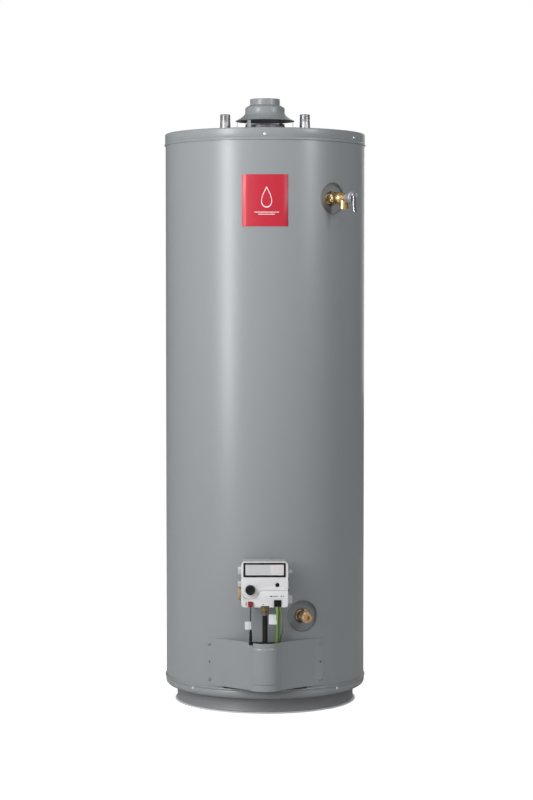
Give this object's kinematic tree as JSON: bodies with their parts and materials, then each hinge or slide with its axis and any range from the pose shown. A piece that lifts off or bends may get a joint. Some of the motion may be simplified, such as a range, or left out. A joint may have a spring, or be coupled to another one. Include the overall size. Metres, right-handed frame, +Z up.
{
  "type": "tank water heater",
  "caption": "Upright gas-fired tank water heater: painted steel jacket over an insulated tank, draft hood on top, gas control, drain and relief valves in front.",
  "frame": {"origin": "middle of the footprint of the whole heater, on the floor; the tank's own axis is 0.0578 m behind it", "axes": "+Z up; -Y out of the front, where the gas control and the access door are; +X to the right seen from the front"},
  "size_m": [0.514, 0.6296, 1.537],
  "materials": {
    "casing_paint": "satin",
    "base_ring_steel": "matte",
    "tank_steel": "matte",
    "dark_steel": "matte",
    "bright_steel": "satin",
    "galvanised_pipe": "satin",
    "brass": "satin",
    "anode_metal": "matte",
    "cast_grey": "matte",
    "insulation_foam": "matte",
    "white_plastic": "satin",
    "black_plastic": "satin",
    "red_plastic": "satin",
    "label_vinyl": "satin",
    "recess_plastic": "satin",
    "natural_plastic": "satin",
    "tube_sleeve": "satin",
    "cable_rubber": "satin",
    "green_sleeve": "satin",
    "lead_ceramic": "matte"
  },
  "bodies": {
    "heater": {"access_door": "casing_paint", "anode_rod": "anode_metal", "base_pan": "casing_paint", "base_ring": "base_ring_steel", "burner": "dark_steel", "cold_nipple": "galvanised_pipe", "control_body": "cast_grey", "control_lower_cover": "white_plastic", "control_upper_cover": "white_plastic", "control_well": "brass", "dip_tube": "natural_plastic", "door_screw_1": "bright_steel", "door_screw_2": "bright_steel", "door_screw_3": "bright_steel", "door_screw_4": "bright_steel", "draft_hood": "casing_paint", "drain_valve_body": "brass", "drain_valve_recess": "recess_plastic", "electrode_lead": "lead_ceramic", "flame_arrestor": "dark_steel", "flue_baffle": "dark_steel", "flue_tube": "tank_steel", "foam_insulation": "insulation_foam", "gas_inlet_plug": "brass", "hood_leg_1": "bright_steel", "hood_leg_2": "bright_steel", "hood_leg_3": "bright_steel", "hood_leg_4": "bright_steel", "hot_nipple": "galvanised_pipe", "igniter_boot": "cable_rubber", "igniter_cable": "cable_rubber", "inner_door": "dark_steel", "jacket": "casing_paint", "label_frame": "black_plastic", "label_plate": "label_vinyl", "limit_switch_lead": "green_sleeve", "manifold_nut": "natural_plastic", "manifold_tube": "tube_sleeve", "outlet_fitting": "brass", "pilot_burner": "bright_steel", "pilot_tube": "bright_steel", "relief_lever_pin": "bright_steel", "relief_valve_body": "brass", "relief_valve_cap": "cast_grey", "relief_valve_recess": "recess_plastic", "relief_valve_spring": "bright_steel", "status_window": "black_plastic", "tank_bottom_head": "tank_steel", "tank_shell": "tank_steel", "tank_top_head": "tank_steel", "thermopile_lead": "green_sleeve", "top_cover": "casing_paint", "wire_connector": "black_plastic"},
    "knob": {"temperature_knob": "black_plastic", "knob_shaft": "cast_grey"},
    "igniter_button": {"igniter_button": "red_plastic"},
    "relief_lever": {"relief_valve_lever": "bright_steel"},
    "relief_stem": {"relief_valve_stem": "brass"},
    "drain_stem": {"drain_valve_stem": "brass", "drain_valve_ball": "brass"}
  },
  "joints": [
    {"name": "temperature_knob_turn", "type": "hinge", "parent": "heater", "child": "knob", "pos_m": [-0.0354, -0.3082, 0.327], "axis": [0, 1, 0], "range_deg": [-150, 120]},
    {"name": "igniter_button_press", "type": "slide", "parent": "heater", "child": "igniter_button", "axis": [0, 1, 0], "range_m": [0, 0.005], "stiffness_N_per_m": 400, "springref_m": -0.002},
    {"name": "relief_lever_lift", "type": "hinge", "parent": "heater", "child": "relief_lever", "pos_m": [0.21843, -0.18823, 1.282], "axis": [-0.7478, -0.6639, 0], "range_deg": [0, 85]},
    {"name": "relief_stem_slide", "type": "slide", "parent": "heater", "child": "relief_stem", "axis": [0.6639, -0.7478, 0], "range_m": [0, 0.00297], "stiffness_N_per_m": 3000, "springref_m": -0.002, "deforming": ["relief_valve_spring"]},
    {"name": "drain_stem_turn", "type": "hinge", "parent": "heater", "child": "drain_stem", "pos_m": [0.10024, -0.19667, 0.245], "axis": [0, 0, 1], "range_deg": [0, 90]}
  ],
  "couplings": [
    {"joint": "relief_lever_lift", "follows": "relief_stem_slide", "rad_per_m": 500}
  ]
}
